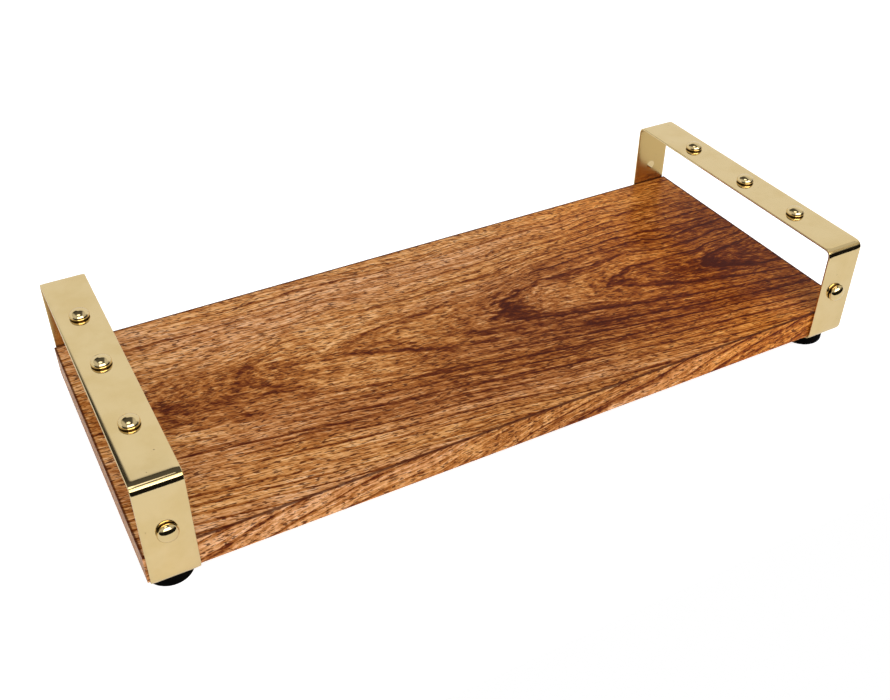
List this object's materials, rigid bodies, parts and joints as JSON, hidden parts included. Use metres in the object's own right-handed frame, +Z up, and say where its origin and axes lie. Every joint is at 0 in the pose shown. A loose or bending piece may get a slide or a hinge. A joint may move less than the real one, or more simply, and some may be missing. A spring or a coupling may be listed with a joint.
{
  "type": "serving tray",
  "caption": "Long rectangular hardwood serving tray with a bent flat-strip brass handle over each short end, domed rivets and round rubber feet.",
  "frame": {"origin": "on the table, under the centre of the board", "axes": "+X along the board, +Y across it towards the back, +Z up"},
  "size_m": [0.45, 0.1984, 0.0811],
  "materials": {
    "board_wood": "satin clear lacquer over streaky red-brown hardwood",
    "handle_brass": "mirror polished and lacquered",
    "rivet_brass": "mirror polished",
    "foot_rubber": "moulded, slightly shiny",
    "fastener_steel": "bright zinc"
  },
  "bodies": {
    "root": {"board": "board_wood", "handle_strap_left": "handle_brass", "left_bridge_rivet_front": "rivet_brass", "left_bridge_rivet_middle": "rivet_brass", "left_bridge_rivet_back": "rivet_brass", "left_leg_rivet_front": "rivet_brass", "left_leg_rivet_back": "rivet_brass", "foot_left_front": "foot_rubber", "foot_washer_left_front": "fastener_steel", "foot_screw_left_front": "fastener_steel", "foot_left_back": "foot_rubber", "foot_washer_left_back": "fastener_steel", "foot_screw_left_back": "fastener_steel", "handle_strap_right": "handle_brass", "right_bridge_rivet_front": "rivet_brass", "right_bridge_rivet_middle": "rivet_brass", "right_bridge_rivet_back": "rivet_brass", "right_leg_rivet_front": "rivet_brass", "right_leg_rivet_back": "rivet_brass", "foot_right_front": "foot_rubber", "foot_washer_right_front": "fastener_steel", "foot_screw_right_front": "fastener_steel", "foot_right_back": "foot_rubber", "foot_washer_right_back": "fastener_steel", "foot_screw_right_back": "fastener_steel"}
  },
  "joints": []
}
